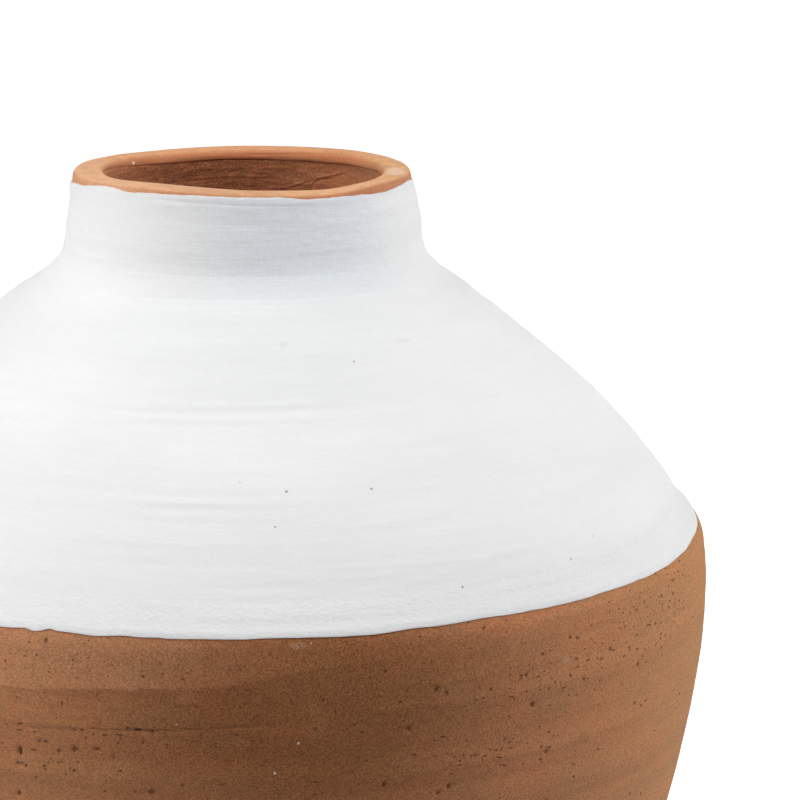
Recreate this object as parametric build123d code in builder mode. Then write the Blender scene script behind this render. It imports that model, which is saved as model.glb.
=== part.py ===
from build123d import *
import os
from math import cos, radians, sin

# Short-necked terracotta jar, thrown in sections that are luted together with slip.
# The origin is the middle of the foot, +Z is up and lengths are in millimetres.

# Body: ground to the widest point, the shoulder above it, the neck above that
foot_radius = 101.0
belly_radius = 160.0
belly_height = 190.5
shoulder_height = 104.4
neck_height = 37.1
mouth_radius = 46.5

# Clay: the wall, the floor, the lip's thickness and how far the neck flares out to its root
wall = 9.5
floor_thickness = 12.0
lip_wall = 11.5
neck_flare = 12.0

# Seams: the belly seam lies just below the widest point, the neck seam at the neck's root
slip_thickness = 0.8
key_depth = 4.0
belly_seam_drop = 9.5

# Whitewash
coat_thickness = 0.6
coat_edge_rise = 20.1
coat_lip_drop = 2.0

# Roundings, as shares of the clay they are worked in
foot_round_share = 0.33
lip_outer_round_share = 0.2
lip_inner_round_share = 0.3
key_half_width_share = 0.3

# Stations of the outside, from the foot up. Each holds two shares and the wall's lean in degrees,
# positive where the wall draws in. The shares run from the foot to the widest point, from there
# to the neck's root, and from the root to the lip: first the share of the change in radius,
# then the share of the height.
lower_shares = ((0.0, 0.0, -29.5), (0.812, 0.61, -13.5), (1.0, 1.0, 0.0))
shoulder_shares = (
    (0.0136, 0.15, 9.1),
    (0.126, 0.287, 32.3),
    (0.371, 0.548, 44.3),
    (0.799, 0.871, 50.3),
    (1.0, 1.0, 54.6),
)
neck_seam_shares = (0.633, 0.218, 22.7)
neck_shares = (neck_seam_shares, (0.821, 0.447, 6.0))
lip_lean = 2.5
throat_share = 0.3

# Sizes that follow
neck_root_height = belly_height + shoulder_height
height = neck_root_height + neck_height
lip_radius = mouth_radius + lip_wall
neck_root_radius = lip_radius + neck_flare
throat_height = neck_root_height + throat_share * neck_height
belly_seam_height = belly_height - belly_seam_drop
belly_seam_radius = belly_radius - wall / 2
neck_seam_height = neck_root_height + neck_seam_shares[1] * neck_height
neck_seam_outside = neck_root_radius - neck_seam_shares[0] * neck_flare
neck_seam_radius = (neck_seam_outside + mouth_radius) / 2
key_half_width = key_half_width_share * wall
reach = 2 * height

os.makedirs("parts", exist_ok=True)


def stations_between(start, end, shares):
    """Outside stations (radius, height, lean) between two (radius, height) ends."""
    radius_change = end[0] - start[0]
    height_change = end[1] - start[1]
    return [(start[0] + a * radius_change, start[1] + b * height_change, lean) for a, b, lean in shares]


foot = (foot_radius, 0)
belly = (belly_radius, belly_height)
neck_root = (neck_root_radius, neck_root_height)
lip = (lip_radius, height)
body_stations = stations_between(foot, belly, lower_shares)
body_stations += stations_between(belly, neck_root, shoulder_shares)
neck_stations = stations_between(neck_root, lip, neck_shares)


def inset(stations, depth):
    """The stations moved into the clay by a depth measured square to the wall."""
    return [
        (radius - depth * cos(radians(lean)), level - depth * sin(radians(lean)), lean)
        for radius, level, lean in stations
    ]


def side_curve(stations):
    """Smooth curve through the stations that keeps the lean given at each of them."""
    points = [(radius, level) for radius, level, lean in stations]
    tangents = [(-sin(radians(lean)), cos(radians(lean))) for radius, level, lean in stations]
    return Spline(points, tangents=tangents)


def silhouette(skin):
    """Half section of the jar as if it were full, with its surface pushed out by a skin."""
    lip_station = (lip_radius + skin, height + skin, lip_lean)
    with BuildSketch() as half:
        with BuildLine():
            side = side_curve(inset(body_stations + neck_stations, -skin) + [lip_station])
            Polyline(side @ 1, (0, height + skin), (0, 0), side @ 0)
        make_face()
        lip_edge = half.vertices().group_by(Axis.Y)[-1].sort_by(Axis.X)[-1]
        fillet(lip_edge, lip_outer_round_share * lip_wall + skin)
        foot_edge = half.vertices().group_by(Axis.Y)[0].sort_by(Axis.X)[-1]
        fillet(foot_edge, foot_round_share * floor_thickness)
    return half.sketch


def cavity():
    """Half section of the hollow, one wall inside the body and straight through the mouth."""
    with BuildSketch() as half:
        with BuildLine():
            throat = (mouth_radius, throat_height, 0)
            side = side_curve(inset(body_stations, wall) + [throat])
            below_floor = (foot_radius - wall, 0)
            Polyline(side @ 1, (mouth_radius, height), (0, height), (0, 0), below_floor, side @ 0)
        make_face()
        with BuildLine():
            Polyline((0, 0), (reach, 0), (reach, floor_thickness), (0, floor_thickness), close=True)
        make_face(mode=Mode.SUBTRACT)
    return half.sketch


def seam_line(radius, level):
    """Line of a keyed seam from the axis outwards, with its groove at a radius."""
    return [
        (0, level),
        (radius - key_half_width, level),
        (radius, level - key_depth),
        (radius + key_half_width, level),
        (reach, level),
    ]


def zone(lower_line, upper_line):
    """Area of the half section between two lines that run from the axis outwards."""
    with BuildSketch() as area:
        with BuildLine():
            Polyline(*lower_line, *reversed(upper_line), close=True)
        make_face()
    return area.sketch


# Clay of the whole jar in half section, with its lip rounded
with BuildSketch() as clay:
    add(silhouette(0))
    add(cavity(), mode=Mode.SUBTRACT)
    mouth_edge = clay.vertices().group_by(Axis.Y)[-1].sort_by(Axis.X)[0]
    fillet(mouth_edge, lip_inner_round_share * lip_wall)

# Lines that part the clay, from the ground up
ground_line = [(0, -reach), (reach, -reach)]
floor_line = seam_line(foot_radius, floor_thickness)
floor_slip_line = seam_line(foot_radius, floor_thickness + slip_thickness)
belly_line = seam_line(belly_seam_radius, belly_seam_height)
belly_slip_line = seam_line(belly_seam_radius, belly_seam_height + slip_thickness)
neck_line = seam_line(neck_seam_radius, neck_seam_height)
neck_slip_line = seam_line(neck_seam_radius, neck_seam_height + slip_thickness)
sky_line = [(0, height + reach), (reach, height + reach)]

# Level lines that the whitewash is brushed up to
coat_foot_height = belly_height + coat_edge_rise
coat_foot_line = [(0, coat_foot_height), (reach, coat_foot_height)]
coat_top_height = height - coat_lip_drop
coat_top_line = [(0, coat_top_height), (reach, coat_top_height)]


def clay_between(lower_line, upper_line):
    """Half section of the clay between two lines."""
    with BuildSketch(Plane.XZ) as section:
        add(clay.sketch)
        add(zone(lower_line, upper_line), mode=Mode.INTERSECT)
    return section.sketch


# Floor disc that the wall is raised on
with BuildPart() as floor_disc:
    revolve(clay_between(ground_line, floor_line), axis=Axis.Z)
floor_disc.part.label = "floor_disc"
export_step(floor_disc.part, "parts/floor_disc.step")

# Slip between the floor disc and the wall
with BuildPart() as floor_slip_joint:
    revolve(clay_between(floor_line, floor_slip_line), axis=Axis.Z)
floor_slip_joint.part.label = "floor_slip_joint"
export_step(floor_slip_joint.part, "parts/floor_slip_joint.step")

# Lower wall, from the floor to the belly seam
with BuildPart() as lower_wall:
    revolve(clay_between(floor_slip_line, belly_line), axis=Axis.Z)
lower_wall.part.label = "lower_wall"
export_step(lower_wall.part, "parts/lower_wall.step")

# Slip in the belly seam
with BuildPart() as belly_slip_joint:
    revolve(clay_between(belly_line, belly_slip_line), axis=Axis.Z)
belly_slip_joint.part.label = "belly_slip_joint"
export_step(belly_slip_joint.part, "parts/belly_slip_joint.step")

# Shoulder, from the belly seam to the neck's root
with BuildPart() as shoulder_wall:
    revolve(clay_between(belly_slip_line, neck_line), axis=Axis.Z)
shoulder_wall.part.label = "shoulder_wall"
export_step(shoulder_wall.part, "parts/shoulder_wall.step")

# Slip in the neck seam
with BuildPart() as neck_slip_joint:
    revolve(clay_between(neck_line, neck_slip_line), axis=Axis.Z)
neck_slip_joint.part.label = "neck_slip_joint"
export_step(neck_slip_joint.part, "parts/neck_slip_joint.step")

# Neck with its thick rounded lip
with BuildPart() as neck_collar:
    revolve(clay_between(neck_slip_line, sky_line), axis=Axis.Z)
neck_collar.part.label = "neck_collar"
export_step(neck_collar.part, "parts/neck_collar.step")

# Whitewash, from just above the widest point to the turn of the lip
with BuildPart() as white_coat:
    with BuildSketch(Plane.XZ):
        add(silhouette(coat_thickness))
        add(silhouette(0), mode=Mode.SUBTRACT)
        add(zone(coat_foot_line, coat_top_line), mode=Mode.INTERSECT)
    revolve(axis=Axis.Z)
white_coat.part.label = "white_coat"
export_step(white_coat.part, "parts/white_coat.step")
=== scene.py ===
import math

import bpy
import numpy as np
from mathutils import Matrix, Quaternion, Vector


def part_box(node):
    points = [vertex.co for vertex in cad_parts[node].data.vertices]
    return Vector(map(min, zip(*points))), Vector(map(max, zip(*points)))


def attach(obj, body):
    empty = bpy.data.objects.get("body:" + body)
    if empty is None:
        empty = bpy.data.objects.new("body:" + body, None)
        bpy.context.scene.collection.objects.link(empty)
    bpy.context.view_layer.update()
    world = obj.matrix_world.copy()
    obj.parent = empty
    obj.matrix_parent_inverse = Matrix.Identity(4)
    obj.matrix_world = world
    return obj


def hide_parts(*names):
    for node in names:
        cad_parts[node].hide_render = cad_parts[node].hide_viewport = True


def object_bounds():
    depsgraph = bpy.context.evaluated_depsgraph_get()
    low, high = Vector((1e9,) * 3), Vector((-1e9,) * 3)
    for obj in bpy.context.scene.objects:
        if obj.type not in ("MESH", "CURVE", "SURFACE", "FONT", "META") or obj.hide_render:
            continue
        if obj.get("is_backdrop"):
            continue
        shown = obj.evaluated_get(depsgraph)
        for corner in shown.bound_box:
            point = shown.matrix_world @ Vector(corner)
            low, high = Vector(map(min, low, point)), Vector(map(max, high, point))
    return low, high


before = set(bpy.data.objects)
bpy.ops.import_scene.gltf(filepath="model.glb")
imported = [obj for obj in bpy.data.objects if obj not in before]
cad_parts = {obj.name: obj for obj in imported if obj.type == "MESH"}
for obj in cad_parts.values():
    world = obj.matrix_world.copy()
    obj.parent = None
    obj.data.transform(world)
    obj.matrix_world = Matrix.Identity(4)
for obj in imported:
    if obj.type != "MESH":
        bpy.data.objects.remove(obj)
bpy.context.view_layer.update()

# Lengths are in metres and angles round the jar in degrees: 0 is +X, and -90 faces the camera.

# Sizes that drive the jar's outline, as in the CAD
foot_radius = 0.101
belly_radius = 0.160
belly_height = 0.1905
shoulder_height = 0.1044
neck_height = 0.0371
mouth_radius = 0.0465
wall = 0.0095
floor_thickness = 0.012
lip_wall = 0.0115
neck_flare = 0.012
lip_lean = 2.5
lip_radius = mouth_radius + lip_wall
neck_root_radius = lip_radius + neck_flare
neck_root_height = belly_height + shoulder_height
height = neck_root_height + neck_height
lip_outer_round = 0.2 * lip_wall
lip_inner_round = 0.3 * lip_wall
foot_round = 0.33 * floor_thickness
throat_height = neck_root_height + 0.3 * neck_height
key_depth = 0.004
key_half_width = 0.3 * wall

# Seams: the levels where one thrown section ends and the slip on it ends
floor_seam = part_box("floor_disc")[1].z
floor_slip_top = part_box("floor_slip_joint")[1].z
belly_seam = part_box("lower_wall")[1].z
belly_slip_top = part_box("belly_slip_joint")[1].z
neck_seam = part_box("shoulder_wall")[1].z
neck_slip_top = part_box("neck_slip_joint")[1].z
belly_seam_radius = belly_radius - wall / 2

# Whitewash: its thickness and the mean level of its lower edge
coat_thickness = 0.0006
coat_foot_height = belly_height + 0.0201

# Stations of the outside: share of the change in radius, share of the height, lean in degrees
lower_shares = ((0.0, 0.0, -29.5), (0.812, 0.61, -13.5), (1.0, 1.0, 0.0))
shoulder_shares = (
    (0.0136, 0.15, 9.1),
    (0.126, 0.287, 32.3),
    (0.371, 0.548, 44.3),
    (0.799, 0.871, 50.3),
    (1.0, 1.0, 54.6),
)
neck_shares = ((0.633, 0.218, 22.7), (0.821, 0.447, 6.0), (1.0, 1.0, lip_lean))
neck_seam_radius = (neck_root_radius - neck_shares[0][0] * neck_flare + mouth_radius) / 2

# Points round each row of the meshes
FINE = 1280
HALF = FINE // 2
QUARTER = FINE // 4
OUTLINE_STEP = 0.0002

# Levels where the rows of the lower wall get closer, and those of the shoulder wider apart
CLOSER_LEVELS = (0.08, 0.15)
WIDER_LEVELS = (0.2135, 0.2195)

# Edges that turn by more degrees than this are shaded sharp
SHARP_TURN = 60


# Outline


def stations_between(start, end, shares):
    """Stations (radius, height, lean) between two (radius, height) ends."""
    dr = end[0] - start[0]
    dz = end[1] - start[1]
    return [(start[0] + a * dr, start[1] + b * dz, lean) for a, b, lean in shares]


def inset(stations, depth):
    """Stations moved into the clay, square to the wall."""
    return [
        (r - depth * math.cos(math.radians(a)), z - depth * math.sin(math.radians(a)), a)
        for r, z, a in stations
    ]


def side_curve(stations, per_span=200):
    """Points of the smooth curve through the stations that keeps each station's lean."""
    t = np.linspace(0, 1, per_span, endpoint=False)[:, None]
    runs = []
    for (r0, z0, a0), (r1, z1, a1) in zip(stations, stations[1:]):
        chord = math.hypot(r1 - r0, z1 - z0)
        leave = chord * np.array((-math.sin(math.radians(a0)), math.cos(math.radians(a0))))
        arrive = chord * np.array((-math.sin(math.radians(a1)), math.cos(math.radians(a1))))
        runs.append(
            (2 * t**3 - 3 * t**2 + 1) * np.array((r0, z0))
            + (t**3 - 2 * t**2 + t) * leave
            + (-2 * t**3 + 3 * t**2) * np.array((r1, z1))
            + (t**3 - t**2) * arrive
        )
    runs.append(np.array([stations[-1][:2]]))
    return np.vstack(runs)


def arc(centre, radius, start, end, count=40):
    """Points of an arc, with its angles in degrees from the outward direction."""
    a = np.radians(np.linspace(start, end, count))
    return np.column_stack((centre[0] + radius * np.cos(a), centre[1] + radius * np.sin(a)))


def rounding_centre(radius, lean, corner, inward):
    """Centre of a rounding between a leaning side through a corner and the level face there."""
    a = math.radians(lean)
    drop = inward * radius
    along = (drop + radius * math.sin(a)) / math.cos(a)
    return corner[0] - radius * math.cos(a) - along * math.sin(a), corner[1] + drop


class Outline:
    """The jar's half section as one line: underside, outside, lip, inside, floor."""

    def __init__(self, points):
        gaps = np.hypot(*np.diff(points, axis=0).T)
        points = points[np.concatenate(([True], gaps > OUTLINE_STEP / 100))]
        along = np.concatenate(([0], np.cumsum(np.hypot(*np.diff(points, axis=0).T))))
        self.s = np.linspace(0, along[-1], int(along[-1] / OUTLINE_STEP) + 1)
        self.r = np.interp(self.s, along, points[:, 0])
        self.z = np.interp(self.s, along, points[:, 1])
        tr = np.gradient(self.r, self.s)
        tz = np.gradient(self.z, self.s)
        size = np.hypot(tr, tz)
        self.nr = tz / size
        self.nz = -tr / size
        crest = np.argmax(self.z >= height - OUTLINE_STEP / 100)
        self.crest = self.s[crest]
        self.outer = (self.z[:crest], self.s[:crest])
        self.inner = (self.z[:crest:-1], self.s[:crest:-1])

    def at(self, s):
        """Radius, height and outward normal at lengths s along the outline."""
        return tuple(np.interp(s, self.s, v) for v in (self.r, self.z, self.nr, self.nz))

    def outer_s(self, z):
        """Length along the outline where the outside is at height z."""
        return np.interp(z, *self.outer)

    def inner_s(self, z):
        """Length along the outline where the inside is at height z."""
        return np.interp(z, *self.inner)


def jar_outline():
    """The outline of the whole jar, with its foot and lip rounded."""
    foot = (foot_radius, 0.0)
    belly = (belly_radius, belly_height)
    neck_root = (neck_root_radius, neck_root_height)
    lip = (lip_radius, height)
    body = stations_between(foot, belly, lower_shares)
    body += stations_between(belly, neck_root, shoulder_shares)
    outside = side_curve(body + stations_between(neck_root, lip, neck_shares))
    inside = side_curve(inset(body, wall) + [(mouth_radius, throat_height, 0.0)])[::-1]
    foot_lean = lower_shares[0][2]
    foot_centre = rounding_centre(foot_round, foot_lean, foot, 1)
    lip_centre = rounding_centre(lip_outer_round, lip_lean, lip, -1)
    mouth_centre = (mouth_radius + lip_inner_round, height - lip_inner_round)
    side_start = foot_centre[1] + foot_round * math.sin(math.radians(foot_lean))
    side_end = lip_centre[1] + lip_outer_round * math.sin(math.radians(lip_lean))
    outside = outside[(outside[:, 1] > side_start) & (outside[:, 1] < side_end)]
    inside = inside[inside[:, 1] > floor_thickness]
    parts = (
        [(0.0, 0.0)],
        arc(foot_centre, foot_round, -90, foot_lean),
        outside,
        arc(lip_centre, lip_outer_round, lip_lean, 90),
        arc(mouth_centre, lip_inner_round, 90, 180),
        inside,
        [(inside[-1, 0], floor_thickness), (0.0, floor_thickness)],
    )
    return Outline(np.vstack(parts))


jar = jar_outline()


# Unevenness of a hand-thrown jar


def angles(columns):
    """Angles round the jar, in radians, of the points in one row."""
    return np.linspace(0, 2 * math.pi, columns, endpoint=False)[None, :]


def rise(value, start, end):
    """Smooth step from 0 at start to 1 at end."""
    t = np.clip((value - start) / (end - start), 0, 1)
    return t * t * (3 - 2 * t)


def hump(value, half_width):
    """Bell curve: 1 at zero, falling away to either side."""
    return np.exp(-((value / half_width) ** 2))


def turn_from(theta, degrees):
    """Angle in degrees from a direction, from -180 to 180."""
    return (np.degrees(theta) - degrees + 180) % 360 - 180


def stretch(theta, start, end, fade=6.0):
    """1 between two directions in degrees, fading to 0 outside them."""
    middle = (start + end) / 2
    half = (end - start) / 2
    return 1 - rise(abs(turn_from(theta, middle)), half - fade, half + fade)


def around(theta, points, blend=5.0):
    """Value at each angle, on a line through points (degrees, value) smoothed over a blend."""
    degrees, values = zip(*points)
    shifts = np.linspace(-blend, blend, 7)
    return sum(np.interp(np.degrees(theta) + a, degrees, values, period=360) for a in shifts) / 7


def noise(seed, theta, s, cells, spacing):
    """Noise from -1 to 1, with cells round the jar and one cell per spacing along the outline."""
    rng = np.random.default_rng(seed)
    grid = rng.uniform(-1, 1, (int(jar.s[-1] / spacing) + 6, cells))
    u = np.broadcast_to(theta / (2 * math.pi) * cells, np.broadcast_shapes(theta.shape, s.shape))
    v = np.broadcast_to(s / spacing + 2, u.shape)
    row = np.clip(np.floor(v).astype(int), 0, len(grid) - 2)
    column = np.floor(u).astype(int)
    fu = u - column
    fv = v - row
    fu = fu * fu * (3 - 2 * fu)
    fv = fv * fv * (3 - 2 * fv)
    here = column % cells
    after = (column + 1) % cells
    low = grid[row, here] * (1 - fu) + grid[row, after] * fu
    high = grid[row + 1, here] * (1 - fu) + grid[row + 1, after] * fu
    return low * (1 - fv) + high * fv


def layers(table, theta, s):
    """Layers of noise added up: how far each stands out in mm, its seed, cells and spacing."""
    return sum(out / 1000 * noise(seed, theta, s, cells, spacing) for out, seed, cells, spacing in table)


# Unevenness of the outside, the inside, the lip, the brush and the whitewash's two edges
OUTER_LAYERS = ((0.2, 11, 6, 0.055), (0.09, 12, 7, 0.0065), (0.05, 13, 16, 0.0024))
INNER_LAYERS = ((0.4, 21, 5, 0.03), (0.3, 22, 6, 0.006), (0.14, 23, 14, 0.0022), (0.08, 29, 34, 0.001))
LIP_LAYERS = ((0.04, 25, 36, 0.003), (0.12, 26, 11, 0.006))
BRUSH_LAYERS = ((0.06, 31, 44, 0.0024), (0.05, 32, 110, 0.0016))
BELLY_EDGE_LAYERS = ((0.35, 41, 34, 1), (0.22, 42, 90, 1), (0.1, 43, 300, 1))
RIM_EDGE_LAYERS = ((0.14, 44, 90, 1), (0.09, 45, 240, 1))


def metres(table):
    """A table with the millimetres after each row's first value turned into metres."""
    return tuple((row[0], *(value / 1000 for value in row[1:])) for row in table)


# How far the lip's inner edge stands above or below its true level (degrees, mm)
LIP_LIFT = metres((
    (-160, -0.6), (-145, -0.3), (-130, 0.3), (-117, 0.4), (-104, 0.1), (-90, -0.6), (-77, -0.9),
    (-66, -1.3), (-57, -1.6), (-47, -1.1), (-34, -0.7), (-19, -0.3), (0, -0.3), (20, 0), (45, 0.2),
    (75, -0.3), (90, -0.4), (105, -0.6), (125, -0.9), (140, -0.6), (152, -0.5), (165, -0.1), (180, -0.3),
))

# How much higher the lip's outer edge stands than its inner one (degrees, mm)
LIP_TILT = metres((
    (-150, 0), (-125, -0.3), (-111, -0.4), (-84, -0.2), (-70, -0.3), (-60, 0), (-50, 0.4), (-40, 0.8),
    (-30, 0.6), (-15, 0.2), (5, 0.3), (25, 0),
))

# How far below the lip's true level the whitewash ends (degrees, mm)
RIM_EDGE = metres((
    (-168, 3.6), (-160, 3), (-157, 3.1), (-151, 2.2), (-145, 1.5), (-138, 1.3), (-130, 1.9), (-123, 1.6),
    (-112, 1.5), (-104, 1.5), (-96, 1.7), (-86, 2), (-78, 2), (-70, 2.9), (-60, 2.8), (-52, 2.8),
    (-45, 3.1), (-36, 3.4), (-31, 2.9), (-25, 2.7), (-18, 2.1), (-13, 2.4), (0, 4.1), (25, 4.8), (50, 3),
    (80, 1.7), (120, 2.6), (155, 4.5), (180, 5.4),
))

# How far the lip's outer edge is pressed in (degrees, mm)
LIP_PRESS = metres((
    (-150, 0), (-75, 0), (-45, 0.2), (-25, 0.6), (-10, 0.9), (8, 0.9), (25, 0.4), (50, 0), (150, 0),
    (180, -0.3),
))

# How far below the lip the step inside the mouth lies (degrees, mm)
STEP_DEPTH = metres((
    (-180, 0.9), (-165, 1.4), (-150, 2.4), (-90, 3.2), (-20, 2.8), (5, 2.4), (16, 2.5), (26, 3),
    (34, 3.2), (50, 3.6), (76, 3.3), (100, 3.1), (119, 3.3), (134, 3), (146, 2.5), (155, 1.9), (166, 1.6),
    (172, 1.2),
))

# How far the whitewash's lower edge strays from its line (degrees, mm)
BELLY_EDGE = metres((
    (-125, 0), (-118.5, -0.4), (-116.5, -0.4), (-114.5, 0.6), (-112.4, -0.4), (-111.4, 0.4),
    (-106.7, -0.3), (-104, 0.4), (-100, 0), (-94, 0.2), (-91.4, 0), (-88, 0.2), (-84, 0), (-77, -0.4),
    (-74, -0.5), (-72, 0.3), (-67.5, 0.2), (-61.5, 0.5), (-59, 0), (-56.8, -0.3), (-45, -0.2), (-42, 0),
    (-38, -0.5), (-34, -0.8), (-22, -0.7), (-18, 0), (-13, 0.2), (-8, 0.3), (-3, 0.8), (5, 1), (25, 0.5),
    (60, 0),
))

# Level where a wiped band of the clay begins, above the belly seam (degrees, mm)
WIPED_EDGE = metres((
    (-150, 188), (-125, 189.5), (-112, 191.8), (-106, 193.3), (-100.4, 194.1), (-95, 194.8),
    (-92.4, 195.2), (-89.4, 196.8), (-84, 199.8), (-78.4, 201.5), (-70, 203),
))

# How far the side stands off the true curve all round, on the right and on the left (height in metres, mm)
SIDE_STRAY = metres((
    (0.297, 0), (0.3, -0.3), (0.304, -0.5), (0.308, -0.3), (0.312, 0),
))
RIGHT_STRAY = metres((
    (0.1, -0.2), (0.203, -0.2), (0.2075, 0.1), (0.2105, 0.3), (0.2135, 0), (0.216, -0.6),
    (0.2185, -0.8), (0.221, -0.2), (0.2235, 0.2), (0.228, 0), (0.28, -0.1), (0.2835, -0.2),
    (0.286, -0.4), (0.288, 0), (0.29, 0.3), (0.2945, 0.2), (0.297, 0), (0.316, -0.1), (0.32, -0.3),
    (0.332, -0.3),
))
LEFT_STRAY = metres((
    (0.284, 0), (0.287, 0.1), (0.289, 0.2), (0.2915, -0.2), (0.2955, -0.3), (0.2985, -0.2), (0.301, 0),
))


# Ovality as shares of the radius: depth, waves round the jar, turn
OVAL_SHARES = ((0.0012, 2, 0.7), (0.0008, 3, 2.1))

# Depths below the lip's true level where its lift and its press begin, and where both are full
LIFT_START = 0.022
PRESS_START = 0.011
WARP_FULL = 0.004


def warp(theta, r, z):
    """Moves points of the true form to where the thrower's hands left them."""
    oval = sum(depth * np.sin(waves * theta + turn) for depth, waves, turn in OVAL_SHARES)
    outward = rise(r, mouth_radius + 0.003, lip_radius - 0.001)
    lift = around(theta, LIP_LIFT) + around(theta, LIP_TILT) * outward
    press = around(theta, LIP_PRESS) * outward * rise(z, height - PRESS_START, height - WARP_FULL)
    return r * (1 + oval) - press, z + lift * rise(z, height - LIFT_START, height - WARP_FULL)


def belly_edge(theta):
    """Level of the whitewash's lower edge: a tilted line that the brush left a little ragged."""
    at_edge = np.full_like(theta, jar.outer_s(coat_foot_height))
    ragged = layers(BELLY_EDGE_LAYERS, theta, at_edge)
    tilt = 0.00129 * np.cos(theta) + 0.00076 * np.sin(theta)
    drip = -0.0007 * hump(turn_from(theta, -114.2), 0.9)
    chip = 0.0007 * hump(turn_from(theta, -112.3), 0.8)
    stray = around(theta, BELLY_EDGE, 1.0)
    return coat_foot_height + tilt + stray + ragged + drip + chip


def outer_lift(theta):
    """How far the lip's outer edge stands above or below its true level."""
    return around(theta, LIP_LIFT) + around(theta, LIP_TILT)


def rim_edge(theta):
    """Level of the whitewash's upper edge, before the lip is warped."""
    at_edge = np.full_like(theta, jar.crest)
    ragged = layers(RIM_EDGE_LAYERS, theta, at_edge)
    drop = around(theta, RIM_EDGE, 2.0) + outer_lift(theta)
    return height - np.maximum(drop, 0.2 * lip_outer_round) + ragged


# Ridges and grooves left by fingers, a rib and the brush:
# level in metres, then in mm its climb per degree, half width and how far it stands out,
# then its first and last direction
CLAY_STROKES = (
    (0.1809, 0.17, 0.5, -0.35, -117, -86),
    (0.1777, 0.02, 0.7, -0.1, -114, -82),
    (0.1862, -0.01, 1.2, 0.12, -100, -40),
    (0.1725, 0.01, 1, -0.12, -96, -30),
)
COAT_STROKES = (
    (0.3285, 0, 0.45, -0.14, -118, -66),
    (0.3036, 0, 0.6, 0.22, -128, -62),
    (0.3021, 0.02, 0.5, -0.16, -122, -58),
    (0.2999, -0.01, 0.7, 0.16, -112, -48),
    (0.2702, 0.02, 0.6, 0.18, -118, -74),
    (0.2684, 0.03, 0.5, -0.2, -116, -70),
    (0.2664, 0.02, 0.7, 0.18, -112, -76),
    (0.2449, -0.02, 0.6, 0.2, -106, -88),
    (0.2436, -0.01, 0.5, -0.18, -102, -84),
)


def more_strokes(seed, count, low, high):
    """Strokes like those on the front, for the rest of the way round."""
    rng = np.random.default_rng(seed)
    strokes = []
    for _ in range(count):
        start = rng.uniform(8, 215)
        level = rng.uniform(low, high)
        climb = rng.uniform(-0.03, 0.03)
        half_width = rng.uniform(0.5, 1.1)
        stands = rng.choice((-1, 1)) * rng.uniform(0.1, 0.2)
        strokes.append((level, climb, half_width, stands, start, start + rng.uniform(18, 55)))
    return tuple(strokes)


CLAY_STROKES += more_strokes(51, 22, 0.03, 0.2)
COAT_STROKES += more_strokes(52, 26, 0.22, 0.31)


def stroke_relief(strokes, theta, z):
    """How far the strokes stand out at points of the outside."""
    out = 0.0
    for level, climb, half_width, stands, start, end in strokes:
        middle = (start + end) / 2
        line = level + climb / 1000 * turn_from(theta, middle)
        out = out + stands / 1000 * hump(z - line, half_width / 1000) * stretch(theta, start, end)
    return out


# Pits where grit or plant matter burnt out: direction, then level, half width, half height and
# depth in mm
PITS = metres((
    (-115.9, 170.3, 1, 1.9, 1), (-109.1, 173.2, 1.5, 0.9, 0.7), (-106.5, 173.9, 1.2, 0.8, 0.5),
    (-116.3, 166.2, 0.9, 0.9, 0.5), (-115.3, 165.7, 0.8, 0.8, 0.5), (-113.4, 174.3, 1.2, 0.6, 0.4),
    (-112.6, 174.5, 1.3, 0.6, 0.4), (-100.4, 160.8, 1.6, 1, 0.4), (-116.5, 155.9, 1, 1, 0.6),
    (-112.6, 206.6, 0.7, 1.4, 0.5), (-101.8, 181.1, 1.6, 0.6, 0.5), (-100.2, 180.6, 1.4, 0.6, 0.5),
    (-112.5, 167.7, 0.8, 0.4, 0.3), (-110.9, 168.1, 0.6, 0.4, 0.3), (-104.6, 171.8, 0.8, 0.6, 0.3),
    (-104.1, 176.3, 0.5, 0.5, 0.3), (-101.3, 176.9, 0.6, 0.5, 0.3), (-113.2, 160.9, 0.7, 0.5, 0.3),
    (-112.9, 157.5, 0.5, 0.5, 0.3), (-115.7, 179.4, 0.9, 0.4, 0.4), (-117.8, 176.6, 1, 0.4, 0.4),
    (-110.5, 187.6, 0.6, 0.9, 0.4), (-71.5, 179.3, 1, 1, 0.6), (-68.3, 191, 1.1, 1, 0.6),
    (-56.6, 191.2, 0.9, 0.9, 0.5), (-55.5, 180.9, 1, 1.2, 0.7), (-43.1, 192.6, 0.9, 0.9, 0.5),
    (-37.2, 183.7, 1, 1.1, 0.6), (-52.9, 163.8, 1, 0.9, 0.6), (-74.2, 161.5, 1.1, 0.9, 0.6),
    (-67.5, 156.6, 1.2, 0.8, 0.5), (-66.2, 158.2, 0.9, 1.4, 0.5),
))


def more_pits(seed, count):
    """Pits like those on the front, for the rest of the wall."""
    rng = np.random.default_rng(seed)
    pits = []
    while len(pits) < count:
        degrees = rng.uniform(-180, 180)
        level = rng.uniform(0.015, 0.206)
        if abs(degrees + 70) < 52 and level > 0.15:
            continue
        half_width = rng.uniform(0.0008, 0.0016)
        half_height = half_width * rng.uniform(0.5, 1.1)
        pits.append((degrees, level, half_width, half_height, 0.5 * half_width))
    return tuple(pits)


PITS += more_pits(61, 120)


def pit_depth(theta, z):
    """How deep the pits are at points of the outside, and a mask of where they are."""
    depth = np.zeros(np.broadcast_shapes(theta.shape, z.shape))
    mask = np.zeros_like(depth)
    for degrees, level, half_width, half_height, deep in PITS:
        across = turn_from(theta, degrees) * math.radians(1) * belly_radius / half_width
        away = np.hypot(across, (z - level) / half_height)
        here = 1 - rise(away, 0.25, 1.25)
        depth = np.maximum(depth, deep * here)
        mask = np.maximum(mask, here)
    return depth, mask


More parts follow.
